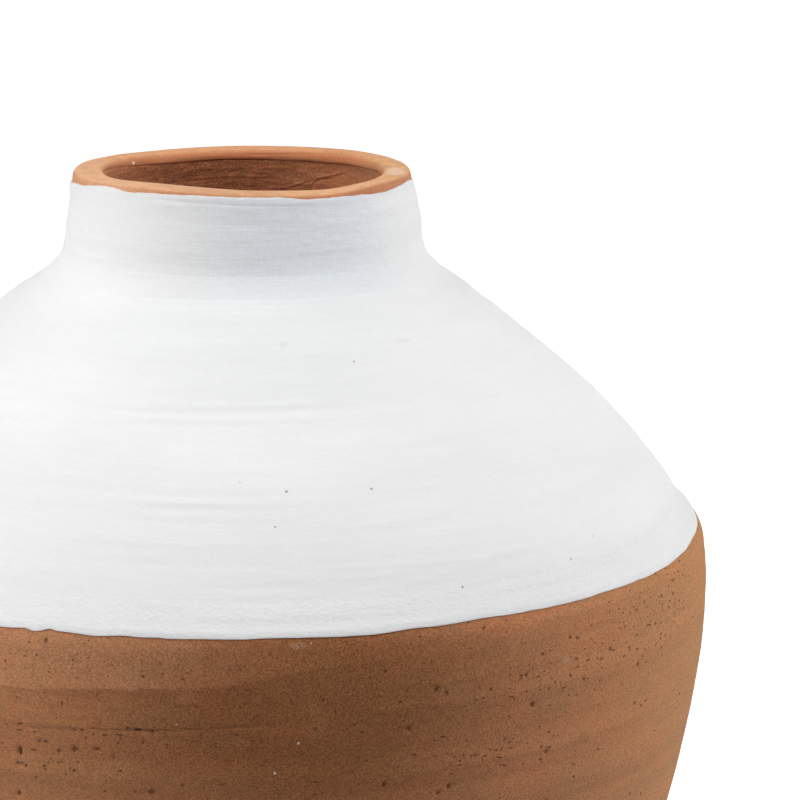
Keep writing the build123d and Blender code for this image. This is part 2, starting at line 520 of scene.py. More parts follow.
def outer_relief(theta, s):
    """How far the outside stands out: slow swells, rings from the wheel and strokes."""
    z = jar.at(s)[1]
    stray = np.interp(z, *zip(*SIDE_STRAY))
    stray = stray + np.interp(z, *zip(*RIGHT_STRAY)) * stretch(theta, -35, 40, 15)
    stray = stray + np.interp(z, *zip(*LEFT_STRAY)) * stretch(theta, 145, 215, 15)
    return layers(OUTER_LAYERS, theta, s) + stray + stroke_relief(CLAY_STROKES, theta, z)


def clay_relief(theta, s):
    """The outside with its pits."""
    return outer_relief(theta, s) - pit_depth(theta, jar.at(s)[1])[0]


def inner_relief(theta, s):
    """How far the inside stands out into the hollow, with the ridges that the fingers left."""
    depth = s - jar.crest
    drop = height - jar.at(s)[1]
    step = around(theta, STEP_DEPTH, 2.0)
    rings = layers(INNER_LAYERS, theta, s)
    groove = 0.00038 * hump(drop - step - 0.0004, 0.0007)
    undercut = 0.0005 * rise(drop, step, step + 0.0006) * (1 - rise(depth, 0.016, 0.036))
    uneven = 0.65 + 0.35 * noise(24, theta, s, 26, 0.03)
    drag = 0.0
    for half_width, stands, points in DRAG_MARKS:
        degrees, depths = zip(*points)
        away = depth - np.interp(np.degrees(theta), degrees, depths)
        drag = drag + stands * hump(away, half_width) * stretch(theta, degrees[0], degrees[-1], 3.0)
    return rings - (groove + undercut) * uneven + drag


# Lengths along the outline from the lip's outer turn: to its inner turn, and to where that ends
lip_flat = lip_wall - lip_outer_round - lip_inner_round
lip_turn = lip_flat + lip_inner_round * math.pi / 2

# Where fingers dragged the soft clay inside the mouth: half width, how far it stands out,
# and points (degrees, length along the outline from the lip's outer turn)
HOOK = ((42, 0.0143), (45.7, 0.015), (51.4, 0.0163), (56, 0.0171), (58, 0.018), (59, 0.0192), (60, 0.0215))
SCRAPE = ((60, 0.0178), (62.2, 0.0185), (65.6, 0.0198), (69.3, 0.0208), (75, 0.0216))
LEVEL_DRAG = ((76, 0.0171), (83, 0.0176), (95, 0.0173), (104, 0.0175), (122, 0.018))
HIGH_DRAG = ((52, 0.0131), (70, 0.014), (90, 0.0146), (112, 0.0143))
LIP_SCRATCH = ((36, 0.0084), (52, 0.0086), (65, 0.0091), (75, 0.0095), (88, 0.0097))


def lowered(points, down):
    """A dragged line's points, moved further into the mouth."""
    return tuple((degrees, depth + down) for degrees, depth in points)


DRAG_MARKS = (
    (0.0004, 0.00022, HOOK),
    (0.0005, -0.00022, lowered(HOOK, 0.001)),
    (0.0004, 0.00015, SCRAPE),
    (0.0004, -0.00015, lowered(SCRAPE, 0.0008)),
    (0.0004, 0.0001, LEVEL_DRAG),
    (0.0004, -0.0001, lowered(LEVEL_DRAG, 0.0008)),
    (0.0005, 0.0001, HIGH_DRAG),
    (0.0003, -0.00015, LIP_SCRATCH),
)


def lip_relief(theta, s):
    """The lip: the outside's relief runs out into its crown, and the inside's takes over."""
    depth = s - jar.crest
    crown = 0.00015 * rise(depth, -0.001, lip_flat / 2) * (1 - rise(depth, lip_flat / 2, lip_turn))
    uneven = layers(LIP_LAYERS, theta, s)
    inside = inner_relief(theta, s) * rise(depth, 0.007, 0.0088)
    return outer_relief(theta, s) * (1 - rise(depth, -0.003, 0.0)) + inside + uneven + crown


# Meshes


def band(s, columns, relief):
    """Rows of points (radius, height) at lengths s along the outline, raised by a relief."""
    theta = angles(columns)
    s = s[:, None] if s.ndim == 1 else s
    r, z, nr, nz = jar.at(s)
    out = relief(theta, s)
    r, z = warp(theta, r + nr * out, z + nz * out)
    return list(zip(r, z))


def run(start, end, step, columns, relief, last=False):
    """A band from start to end along the outline, its rows about a step apart, with or without the last."""
    count = max(2, int(round(abs(end - start) / step)) + 1)
    return band(np.linspace(start, end, count)[: None if last else -1], columns, relief)


def key_rows(level, radius, first, others=None):
    """Rows of the keyed groove in a joint face, from the outside in: points of the first and the others."""
    others = others or first
    steps = ((key_half_width, 0.0, first), (0.0, -key_depth, others), (-key_half_width, 0.0, others))
    rows = []
    for across, drop, columns in steps:
        theta = angles(columns)
        r, z = warp(theta, np.full_like(theta, radius + across), np.full_like(theta, level + drop))
        rows.append((r[0], z[0]))
    return rows


def faces_between(a, n, b, m):
    """Faces between two rows that start at vertices a and b and hold n and m points."""
    i = np.arange(min(n, m))
    j = (i + 1) % len(i)
    if n == m:
        return np.column_stack((a + i, a + j, b + j, b + i)).tolist()
    if n == 2 * m:
        near, middle, far = a + 2 * i, a + 2 * i + 1, a + 2 * j
        triangles = ((near, middle, b + i), (middle, far, b + j), (middle, b + j, b + i))
    else:
        near, middle, far = b + 2 * i, b + 2 * i + 1, b + 2 * j
        triangles = ((a + i, middle, near), (a + i, a + j, middle), (a + j, far, middle))
    return np.vstack([np.column_stack(t) for t in triangles]).tolist()


def new_object(name, data):
    """A new object that holds the data, linked into the scene."""
    thing = bpy.data.objects.new(name, data)
    bpy.context.scene.collection.objects.link(thing)
    return thing


def ring_mesh(name, rows, marks, closed=True):
    """Mesh of rows of points round the jar: a closed ring, or a body whose end rows are capped."""
    starts = np.cumsum([0] + [len(r) for r, z in rows]).tolist()
    theta = np.concatenate([angles(len(r))[0] for r, z in rows])
    r = np.concatenate([r for r, z in rows])
    z = np.concatenate([z for r, z in rows])
    points = np.column_stack((r * np.cos(theta), r * np.sin(theta), z))
    faces = []
    for k in range(len(rows) if closed else len(rows) - 1):
        after = (k + 1) % len(rows)
        faces += faces_between(starts[k], len(rows[k][0]), starts[after], len(rows[after][0]))
    if not closed:
        count = len(points)
        points = np.vstack((points, (0, 0, rows[0][1].mean()), (0, 0, rows[-1][1].mean())))
        first = len(rows[0][0])
        last = len(rows[-1][0])
        faces += [(count, (i + 1) % first, i) for i in range(first)]
        top = starts[-2]
        faces += [(count + 1, top + i, top + (i + 1) % last) for i in range(last)]
    mesh = bpy.data.meshes.new(name)
    mesh.from_pydata(points.tolist(), [], faces)
    mesh.update()
    mesh.shade_smooth()
    mesh.set_sharp_from_angle(angle=math.radians(SHARP_TURN))
    theta = np.arctan2(points[:, 1], points[:, 0])
    for mark, values in marks(theta, np.hypot(points[:, 0], points[:, 1]), points[:, 2]).items():
        layer = mesh.attributes.new(mark, "FLOAT", "POINT")
        layer.data.foreach_set("value", values.astype(np.float32))
    return new_object(name, mesh)


# Darker zones of the clay: the first two are painted shade on the front of the belly and of the lip, the
# others are dark patches that the fire left: direction, level, half turn, half height, strength
FIRE_MARKS_AND_PAINTED_SHADE = (
    (-83.5, 0.188, 37, 0.07, 1), (-98, 0.332, 40, 0.02, 0.7), (12, 0.12, 34, 0.11, 0.75),
    (88, 0.19, 42, 0.14, 0.9), (168, 0.09, 38, 0.1, 0.8), (-150, 0.04, 30, 0.05, 0.5),
)

# Places where small pits crowd together: direction, level, half turn, half height, strength
PITTED = (
    (-33, 0.198, 15, 0.016, 1), (-52, 0.186, 14, 0.016, 0.8), (-72, 0.18, 9, 0.007, 0.7),
    (-97, 0.179, 22, 0.007, 0.25), (-60, 0.166, 16, 0.01, 0.6), (-108, 0.168, 10, 0.012, 0.2),
    (60, 0.15, 20, 0.02, 0.9), (130, 0.18, 25, 0.018, 0.8), (15, 0.1, 22, 0.02, 0.7),
    (-170, 0.14, 20, 0.022, 0.8), (-80, 0.08, 25, 0.018, 0.6),
)


def patches(theta, z, places, edge):
    """Strength from 0 to 1 of soft-edged oval patches."""
    total = np.zeros(np.broadcast_shapes(theta.shape, z.shape))
    for degrees, level, half_turn, half_height, strength in places:
        away = np.hypot(turn_from(theta, degrees) / half_turn, (z - level) / half_height)
        total = np.maximum(total, strength * (1 - rise(away, edge, 1)))
    return total


def clay_marks(theta, r, z):
    """What the clay's material needs to know at each point."""
    wander = noise(71, theta[None, :], z[None, :], 9, 0.03)[0]
    band_edge = around(theta, WIPED_EDGE, 1.0)
    above_edge = rise(z, band_edge - 0.0003, band_edge + 0.0004)
    wiped = above_edge * stretch(theta, -150, -94, 11)
    paler = (above_edge - rise(z, band_edge - 0.01, band_edge + 0.014)) * stretch(theta, -121, -76, 7)
    drop = height + around(theta, LIP_LIFT) - z
    step = around(theta, STEP_DEPTH, 2.0)
    hidden = jar.at(jar.outer_s(z))[0] - r
    inside = rise(hidden, 0.4 * wall, 0.6 * wall) * rise(z, floor_thickness / 2, floor_thickness)
    # Painted shade inside the mouth below the step, strongest on the far wall
    shade_round_mouth = 0.45 + 0.55 * (1 - rise(abs(turn_from(theta, 100)), 10, 65))
    # Painted shade in the crease just below the step inside the mouth
    crease = hump(drop - step - 0.0011, 0.0011) * stretch(theta, 8, 78, 16)
    wiped_behind = rise(z, 0.1985, 0.1995) * stretch(theta, 40, 150, 14) * (1 - rise(z, 0.213, 0.214))
    outer_drop = height + outer_lift(theta) - z
    # Painted shade: the lip's outer side darker and redder than its top
    lip_side_shade = rise(r, lip_radius - 0.0022, lip_radius - 0.0012) * rise(z, height - 0.02, height - 0.018)
    lip_side_shade = lip_side_shade * rise(outer_drop, 0.0003, 0.0007) * (1 - 0.6 * stretch(theta, -190, -125, 12))
    # Painted shade on the lip's inner turn, darker as it turns down into the mouth
    lip_inner_shade = 1 - rise(r, mouth_radius + 0.003, mouth_radius + 0.0045)
    return {
        # Painted sheen: the clay paler on the right side
        "right_sheen": stretch(theta, -38, 60, 18),
        "pit": pit_depth(theta, z)[1],
        "pitted": patches(theta, z, PITTED, 0.2) * (0.75 + 0.25 * wander),
        "fire_and_shade": patches(theta, z, FIRE_MARKS_AND_PAINTED_SHADE, 0.1) * (0.9 + 0.1 * wander),
        "wiped": np.maximum(wiped, 0.7 * wiped_behind),
        "paler": paler,
        "inside": inside * rise(drop, step - 0.0002, step + 0.0003) * shade_round_mouth,
        "crease": inside * crease,
        "lip_side_shade": lip_side_shade,
        "lip_inner_shade": lip_inner_shade * rise(drop, -0.0003, 0.0018),
        "back": stretch(theta, 34, 158, 14),
    }


def coat_marks(theta, r, z):
    """What the whitewash's material needs to know at each point."""
    low = belly_edge(theta[None, :])[0]
    high = rim_edge(theta[None, :])[0] + outer_lift(theta)
    under_neck = rise(z, 0.262, 0.29) * (1 - rise(z, 0.297, 0.3))
    return {
        # A thin line of painted shade along the whitewash's lower edge
        "edge": 1 - rise(z - low, 0.0, 0.0007),
        # The lowest band of the whitewash: painted shade there, and stronger lumps
        "low": 1 - rise(z - low, 0.006, 0.014),
        "woven": 0.4 + 0.6 * stretch(theta, -107, -38, 12) * rise(z, 0.297, 0.303),
        "rim": 1 - rise(high - z, 0.0, 0.0007),
        # Painted cool cast of the shade on the neck's front
        "cool_shade_cast": stretch(theta, -97, -42, 14) * rise(z, 0.296, 0.303),
        "shaded": stretch(theta, -112, -48, 22) * under_neck,
        "behind": stretch(theta, 0, 220, 4),
    }


def place(piece, node, material):
    """Puts a finished piece in the place of its CAD node."""
    piece.data.materials.append(material)
    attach(piece, "root")
    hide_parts(node)


def lower_wall():
    """The thrown wall from the floor to the belly seam, finest near the seam."""
    foot, low, high, top = (jar.outer_s(z) for z in (floor_slip_top, *CLOSER_LEVELS, belly_seam))
    rows = run(foot, low, 0.003, QUARTER, clay_relief)
    rows += run(low, high, 0.0018, HALF, clay_relief)
    rows += run(high, top, 0.0008, FINE, clay_relief, True)
    rows += key_rows(belly_seam, belly_seam_radius, HALF, QUARTER)
    rows += run(jar.inner_s(belly_seam), jar.inner_s(floor_slip_top), 0.006, QUARTER, inner_relief, True)
    rows += key_rows(floor_slip_top, foot_radius, QUARTER)[::-1]
    return ring_mesh("jar_lower_wall", rows, clay_marks)


def shoulder_wall():
    """The thrown shoulder, finest where the clay shows below the whitewash."""
    seam, edge, past, top = (jar.outer_s(z) for z in (belly_slip_top, *WIDER_LEVELS, neck_seam))
    rows = run(seam, edge, 0.0008, FINE, clay_relief)
    rows += run(edge, past, 0.0015, HALF, outer_relief)
    rows += run(past, top, 0.0035, QUARTER, outer_relief, True)
    rows += key_rows(neck_seam, neck_seam_radius, QUARTER)
    rows += run(jar.inner_s(neck_seam), jar.inner_s(belly_slip_top), 0.004, QUARTER, inner_relief, True)
    rows += key_rows(belly_slip_top, belly_seam_radius, HALF, QUARTER)[::-1]
    return ring_mesh("jar_shoulder_wall", rows, clay_marks)


def neck_collar():
    """The neck, over the lip and down inside to the seam."""
    seam, shown = jar.outer_s(neck_slip_top), jar.outer_s(height - 0.0075)
    turn = jar.crest + lip_turn
    rows = run(seam, shown, 0.003, HALF, lip_relief)
    rows += run(shown, turn - 0.0026, 0.0005, HALF, lip_relief)
    rows += run(turn - 0.0026, turn + 0.001, 0.0002, HALF, lip_relief)
    rows += run(turn + 0.001, turn + 0.012, 0.0003, HALF, lip_relief)
    rows += run(turn + 0.012, jar.inner_s(neck_slip_top), 0.001, HALF, lip_relief, True)
    rows += key_rows(neck_slip_top, neck_seam_radius, HALF)[::-1]
    return ring_mesh("jar_neck_collar", rows, clay_marks)


def slip_joint(name, low, high, radius, columns):
    """A ring of slip in a keyed seam."""
    rows = run(jar.outer_s(low), jar.outer_s(high), 0.0004, columns, clay_relief, True)
    rows += key_rows(high, radius, columns)
    rows += run(jar.inner_s(high), jar.inner_s(low), 0.0004, columns, inner_relief, True)
    rows += key_rows(low, radius, columns)[::-1]
    return ring_mesh(name, rows, clay_marks)


def floor_relief(theta, s):
    """The floor inside, half as uneven as the wall and sunk a little."""
    return 0.5 * inner_relief(theta, s) - 0.0003


def floor_disc():
    """The floor disc: underside, rounded foot, keyed seam and the floor inside."""
    start = 0.02 * foot_radius
    rim = jar.outer_s(0.0)
    rows = run(start, rim - 0.006, 0.0025, QUARTER, underside_relief)
    rows += run(rim - 0.006, jar.outer_s(floor_seam), 0.0008, HALF, foot_relief, True)
    rows += key_rows(floor_seam, foot_radius, QUARTER)
    rows += run(jar.inner_s(floor_seam + 0.00005), jar.s[-1] - start, 0.0025, QUARTER, floor_relief, True)
    return ring_mesh("jar_floor_disc", rows, clay_marks, closed=False)


def underside_relief(theta, s):
    """The underside, a little hollow, with the curved drags of the cutting wire."""
    r = jar.at(s)[0]
    across = r * np.cos(theta - 0.4)
    along = r * np.sin(theta - 0.4)
    wire = np.sin((across + 4 * along**2) / 0.0016) * noise(27, theta, s, 8, 0.02)
    hollow = -0.0009 * (1 - rise(r, 0.05 * foot_radius, 0.88 * foot_radius))
    drags = 0.0001 * wire * (1 - rise(r, 0.8 * foot_radius, 0.95 * foot_radius))
    return np.minimum(hollow + drags, 0.0)


def foot_relief(theta, s):
    """The foot's rounding, worn a little, running up into the wall."""
    z = jar.at(s)[1]
    worn = -0.00025 * (1 + noise(28, theta, s, 40, 0.004)) * rise(z, 0.0002, 0.002)
    return worn * (1 - rise(z, 0.004, 0.01)) + clay_relief(theta, s) * rise(z, 0.003, 0.01)


# Rows of the whitewash's outside: shares of its width to start and end at, how many, and their points
COAT_ROW_SHARES = (
    (0, 0.035, 13, FINE), (0.035, 0.15, 26, HALF), (0.15, 0.72, 86, QUARTER), (0.72, 0.97, 64, QUARTER)
)


def white_coat():
    """The whitewash: outside with its brush marks, inside against the clay."""

    def edges(theta):
        return jar.outer_s(belly_edge(theta)), jar.outer_s(rim_edge(theta))

    def side(shares, columns, relief):
        low, high = edges(angles(columns))
        return band(low + (high - low) * np.array(shares)[:, None], columns, relief)

    def brushed(theta, s):
        low, high = edges(theta)
        edge = np.minimum(s - low, high - s)
        z = jar.at(s)[1]
        body = rise(edge, -0.0007, 0.0003) * coat_thickness
        bead = 0.00012 * hump(s - low - 0.0016, 0.0012)
        strokes = layers(BRUSH_LAYERS, theta, s) + stroke_relief(COAT_STROKES, theta, z)
        ridge = 0.00018 * hump(turn_from(theta, -113.6), 0.45)
        ridge = ridge * (1 - rise(s - low, 0.004, 0.008))
        return outer_relief(theta, s) + body + (strokes + bead + ridge) * rise(edge, 0, 0.002)

    rows = []
    for start, end, count, columns in COAT_ROW_SHARES:
        rows += side(np.linspace(start, end, count, endpoint=False), columns, brushed)
    rows += side(np.linspace(end, 1, 15), HALF, brushed)
    rows += side([1.0], HALF, outer_relief)
    rows += side(np.linspace(0.995, 0.01, 14), QUARTER, outer_relief)
    rows += side([0.004], HALF, outer_relief)
    rows += side([0.0], FINE, outer_relief)
    return ring_mesh("jar_white_coat", rows, coat_marks)


# Materials


class Nodes:
    """Short names for making and linking the nodes of one tree."""

    def __init__(self, tree):
        self.tree = tree

    def fill(self, node, sockets):
        """Links or sets the sockets of a node, given by name or number."""
        for key, value in sockets.items():
            if isinstance(value, bpy.types.NodeSocket):
                self.tree.links.new(value, node.inputs[key])
            else:
                node.inputs[key].default_value = value

    def add(self, kind, sockets, **settings):
        """A new node with its settings and what its sockets hold."""
        node = self.tree.nodes.new("ShaderNode" + kind)
        for name, setting in settings.items():
            setattr(node, name, setting)
        self.fill(node, sockets)
        return node

    def coordinates(self):
        """Coordinates in the piece's own frame."""
        return self.add("TexCoord", {}).outputs["Object"]

    def stretched(self, scale):
        """Object coordinates times a scale along each axis."""
        return self.add("Mapping", {"Vector": self.coordinates(), "Scale": scale}).outputs[0]

    def noise(self, scale, detail=3.0, roughness=0.5):
        """Noise at a scale per metre along each axis, with how fine it goes and how strong that is."""
        sockets = {"Vector": self.stretched(scale), "Scale": 1.0, "Detail": detail, "Roughness": roughness}
        return self.add("TexNoise", sockets).outputs["Fac"]

    def cells(self, scale):
        """Distance to the nearest of scattered points, and a random number for that point."""
        node = self.add("TexVoronoi", {"Vector": self.stretched(scale), "Scale": 1.0})
        part = self.add("SeparateColor", {0: node.outputs["Color"]})
        return node.outputs["Distance"], part.outputs[0]

    def mark(self, name):
        """A value that the mesh carries at each point."""
        return self.add("Attribute", {}, attribute_name=name).outputs["Fac"]

    def ramp(self, value, start, end, low=0.0, high=1.0):
        """Maps a value from start..end to low..high, smoothly."""
        sockets = {0: value, 1: start, 2: end, 3: low, 4: high}
        return self.add("MapRange", sockets, interpolation_type="SMOOTHSTEP").outputs[0]

    def math(self, kind, a, b=0.0):
        """One sum of two values."""
        return self.add("Math", {0: a, 1: b}, operation=kind).outputs[0]

    def times(self, a, b):
        """Two values multiplied."""
        return self.math("MULTIPLY", a, b)

    def most(self, a, b):
        """The larger of two values."""
        return self.math("MAXIMUM", a, b)

    def mix(self, amount, a, b, kind="MIX"):
        """Mixes two colours by an amount."""
        return self.add("Mix", {0: amount, 6: a, 7: b}, data_type="RGBA", blend_type=kind).outputs[2]

    def tint(self, amount, colour, tint):
        """A colour multiplied by a tint, by an amount."""
        return self.mix(amount, colour, tint, "MULTIPLY")

    def near(self, degrees, level, reach, scale=(1, 1, 1), radius=None):
        """1 at a place, on the outside unless a radius is given, falling to 0 at its reach."""
        radius = jar.at(jar.outer_s(level))[0] if radius is None else radius
        a = math.radians(degrees)
        middle = (radius * math.cos(a), radius * math.sin(a), level)
        away = self.add("VectorMath", {0: self.coordinates(), 1: middle}, operation="SUBTRACT").outputs[0]
        away = self.add("VectorMath", {0: away, 1: scale}, operation="MULTIPLY").outputs[0]
        distance = self.add("VectorMath", {0: away}, operation="LENGTH").outputs["Value"]
        return self.ramp(distance, 0.5 * reach, reach, 1.0, 0.0)

    def bump(self, depth, height_value, before=None):
        """Bump of a depth in metres, on top of an earlier one."""
        sockets = {"Distance": depth, "Height": height_value}
        if before is not None:
            sockets["Normal"] = before
        return self.add("Bump", sockets).outputs["Normal"]


def new_material(name):
    """A new material and the short names for its nodes."""
    material = bpy.data.materials.new(name)
    material.use_nodes = True
    return material, Nodes(material.node_tree)


# Small pits of the clay: how many per metre across and upright, and the reach of one
SMALL_PITS = ((420, 560, 0.34), (800, 1000, 0.36), (230, 760, 0.26))

# Colours that both clays share: painted sheen on the right side, the inside of a pit, painted shade in the
# crease inside the mouth, pale grit
RIGHT_SHEEN = (0.6, 0.3, 0.108, 1)
PIT_DARK = (0.075, 0.027, 0.01, 1)
CREASE_SHADE = (0.17, 0.058, 0.022, 1)
GRIT = (0.6, 0.5, 0.4, 1)


def terracotta(name, red, olive, umber, pale, inside_shade, pit_share, coarse, spots):
    """Raw clay from the kiln: mottled, more or less coarse, banded by the wheel, with pits, pale grit and
    dark fire patches, and painted shade and sheen in places.
    """
    material, n = new_material(name)
    wiped = n.mark("wiped")
    inside = n.mark("inside")
    mottle = n.noise((18, 18, 52), 5, 0.62)
    bands = n.noise((4, 4, 190), 4, 0.6)
    grain = n.noise((1600, 1600, 1800), 3, 0.75)
    # Fire patches, and painted shade on the front of the belly and the lip, darken the clay towards umber
    fire_and_shade = n.times(n.mark("fire_and_shade"), n.ramp(mottle, 0.2, 0.8, 1.15, 0.85))
    patchy = n.mix(n.ramp(n.noise((50, 50, 90)), 0.38, 0.62), (0.97, 1.0, 1.0, 1), (1.03, 0.995, 0.99, 1))
    colour = n.mix(n.ramp(mottle, 0.33, 0.67), olive, red)
    colour = n.tint(1.0, colour, n.ramp(bands, 0.3, 0.7, 0.9, 1.1))
    colour = n.mix(fire_and_shade, colour, umber)
    colour = n.mix(n.times(wiped, 0.08), colour, pale)
    # Painted sheen: the right side mixed towards a paler colour
    colour = n.mix(n.times(n.mark("right_sheen"), 0.35), colour, RIGHT_SHEEN)
    colour = n.tint(0.5 + 0.5 * coarse, colour, patchy)
    colour = n.tint(1.0, colour, n.ramp(n.mark("paler"), -0.5, 0.5, 0.88, 1.12))
    blotches = n.ramp(n.noise((240, 240, 420), 4, 0.66), 0.34, 0.66, 0.9, 1.1)
    colour = n.tint(1.0 - 0.6 * coarse, colour, blotches)
    # Painted shade on the lip's outer side
    colour = n.mix(n.mark("lip_side_shade"), colour, (0.53, 0.225, 0.11, 1))
    # Painted shade on the lip's inner turn
    colour = n.mix(n.mark("lip_inner_shade"), colour, (0.53, 0.22, 0.105, 1))
    colour = n.tint(n.times(n.mark("back"), 1 - coarse), colour, (1.0, 0.88, 0.82, 1))
    # Painted shade inside the mouth
    colour = n.mix(inside, colour, inside_shade)
    streaks = n.noise((170, 170, 900), 4, 0.68)
    colour = n.tint(inside, colour, n.ramp(streaks, 0.3, 0.7, 0.7, 1.3))
    # Painted shade in the crease inside the mouth
    colour = n.mix(n.times(n.mark("crease"), 0.5), colour, CREASE_SHADE)
    colour = n.mix(n.ramp(n.noise((55, 55, 75), 3), 0.6, 0.78, 0.0, 0.15), colour, pale)
    speckled = n.math("ADD", n.times(inside, 0.8), 0.26 + 0.42 * coarse)
    speckled = n.math("ADD", n.times(fire_and_shade, 0.35 * coarse), speckled)
    colour = n.tint(speckled, colour, n.ramp(grain, 0.3, 0.7, 0.54, 1.46))
    sand = n.noise((1300, 1300, 800), 3, 0.6)
    crumbs = n.times(n.ramp(sand, 0.4, 0.66), wiped)
    colour = n.mix(n.times(crumbs, 0.28), colour, pale)

    crowd = n.times(n.mark("pitted"), n.ramp(bands, 0.35, 0.6, 0.35, 1.3))
    crowd = n.math("ADD", n.times(crowd, 0.34), pit_share)
    ragged = n.math("ADD", n.mark("pit"), n.ramp(grain, 0.3, 0.7, -0.16, 0.16))
    holes = n.ramp(ragged, 0.42, 0.68)
    for across, upright, size in SMALL_PITS:
        distance, pick = n.cells((across, across, upright))
        hole = n.ramp(distance, 0.55 * size, size, 1.0, 0.0)
        holes = n.most(holes, n.times(hole, n.math("LESS_THAN", pick, crowd)))
    colour = n.mix(n.times(holes, 0.6), colour, PIT_DARK)
    distance, pick = n.cells((150, 150, 150))
    grit = n.times(n.ramp(distance, 0.03, 0.055, 1.0, 0.0), n.math("LESS_THAN", pick, 0.05))
    colour = n.mix(grit, colour, GRIT)
    for degrees, level, radius, reach, scale, strength, shade in spots:
        spot = n.near(degrees, level, reach, scale, radius)
        spot = n.times(spot, n.ramp(grain, 0.3, 0.6, 0.3, 1.0))
        colour = n.mix(n.times(spot, strength), colour, shade)

    normal = n.bump(0.00012, bands)
    normal = n.bump(0.00007 + 0.00013 * coarse, grain, normal)
    normal = n.bump(0.00016, n.times(sand, wiped), normal)
    normal = n.bump(0.0002, n.times(streaks, inside), normal)
    normal = n.bump(0.0005, n.math("SUBTRACT", 1.0, holes), normal)
    surface = {"Base Color": colour, "Normal": normal, "Roughness": 0.85, "Specular IOR Level": 0.12}
    sheen = {"Sheen Weight": 0.12, "Sheen Roughness": 0.5, "Sheen Tint": (1, 0.9, 0.8, 1)}
    n.fill(n.tree.nodes["Principled BSDF"], surface | sheen)
    return material


# Specks and marks in the whitewash: direction, level, reach, how much wider than tall, strength
COAT_SPECKS = (
    (-66.9, 0.2806, 0.0007, 1, 1), (-90.7, 0.2506, 0.0005, 1, 1), (-84.1, 0.2482, 0.0007, 1, 1),
    (-71.8, 0.2478, 0.0006, 1, 1), (-86, 0.2391, 0.0005, 1, 1), (-39.7, 0.2255, 0.0006, 1, 1),
    (-45.6, 0.2213, 0.0006, 1, 1), (-63.1, 0.2195, 0.0005, 1, 1), (-48.7, 0.2643, 0.0007, 0.6, 0.8),
    (-81.4, 0.2863, 0.001, 2, 0.15), (-52.4, 0.2848, 0.0003, 13, 0.2), (-58, 0.2848, 0.0005, 1.3, 0.3),
)


def whitewash(name):
    """Chalky white, brushed on in level strokes, with a few specks of grit."""
    material, n = new_material(name)
    woven = n.mark("woven")
    low = n.mark("low")
    strokes = n.noise((30, 30, 1050), 4, 0.62)
    threads = n.noise((260, 260, 1900), 2, 0.6)
    cross = n.noise((1500, 1500, 480), 2, 0.6)
    weave = n.math("ADD", n.times(threads, 0.5), n.times(cross, 0.5))
    lumps = n.noise((500, 500, 1050), 4, 0.68)
    swell = n.noise((13, 13, 50), 3)
    colour = n.mix(n.ramp(swell, 0.3, 0.7), (0.84, 0.843, 0.845, 1), (0.88, 0.88, 0.879, 1))
    streaks = n.times(n.ramp(strokes, 0.28, 0.5, 0.16, 0.0), woven)
    colour = n.mix(streaks, colour, (0.66, 0.67, 0.69, 1))
    colour = n.tint(woven, colour, n.ramp(weave, 0.36, 0.64, 0.965, 1.028))
    # Painted shade on the lowest band of the whitewash
    colour = n.tint(low, colour, (0.955, 0.955, 0.96, 1))
    # Painted cool cast of the shade on the neck's front
    colour = n.tint(n.mark("cool_shade_cast"), colour, (0.955, 0.995, 1.035, 1))
    colour = n.tint(n.mark("shaded"), colour, (0.93, 0.935, 0.94, 1))
    distance, pick = n.cells((105, 105, 105))
    specks = n.times(n.ramp(distance, 0.025, 0.05, 1.0, 0.0), n.math("LESS_THAN", pick, 0.02))
    specks = n.times(specks, n.mark("behind"))
    for degrees, level, reach, wide, strength in COAT_SPECKS:
        speck = n.near(degrees, level, reach, (1 / wide, 1 / wide, 1))
        specks = n.most(specks, n.times(speck, strength))
    colour = n.mix(n.times(specks, 0.6), colour, (0.16, 0.13, 0.11, 1))
    # Painted shade along the lower edge
    colour = n.mix(n.times(n.mark("edge"), 0.14), colour, (0.5, 0.45, 0.52, 1))
    thin = n.times(n.mark("rim"), n.ramp(lumps, 0.3, 0.7, 0.3, 1.0))
    colour = n.mix(n.times(thin, 0.4), colour, (0.56, 0.5, 0.47, 1))

    normal = n.bump(0.00012, n.times(strokes, woven))
    normal = n.bump(0.00014, n.times(weave, woven), normal)
    normal = n.bump(0.0001, n.times(lumps, n.ramp(low, 0, 1, 0.7, 3.6)), normal)
    normal = n.bump(0.0002, n.math("SUBTRACT", 1.0, specks), normal)
    surface = {"Base Color": colour, "Normal": normal, "Roughness": 0.9, "Specular IOR Level": 0.2}
    n.fill(n.tree.nodes["Principled BSDF"], surface)
    return material


# The pieces

# Pale spots: direction, level, radius or None for the outside, reach, scale, strength, colour
EVEN = (1, 1, 1)
CHALK = (0.8, 0.76, 0.7, 1)
DUST = (0.62, 0.42, 0.3, 1)
CLAY_SPOTS = (
    (-97.5, 0.1832, None, 0.0005, EVEN, 0.65, CHALK),
    (-84.1, 0.177, None, 0.0007, EVEN, 1.0, CHALK),
    (-86.7, 0.1674, None, 0.0007, EVEN, 1.0, CHALK),
    (-78.3, 0.1922, None, 0.0005, EVEN, 0.7, CHALK),
    (-55.9, 0.1838, None, 0.0005, EVEN, 0.7, CHALK),
    (-50.6, 0.1932, None, 0.0024, (1, 1, 1.6), 0.4, DUST),
    (-84.1, 0.2077, None, 0.0026, (0.8, 1, 1.8), 0.27, DUST),
)

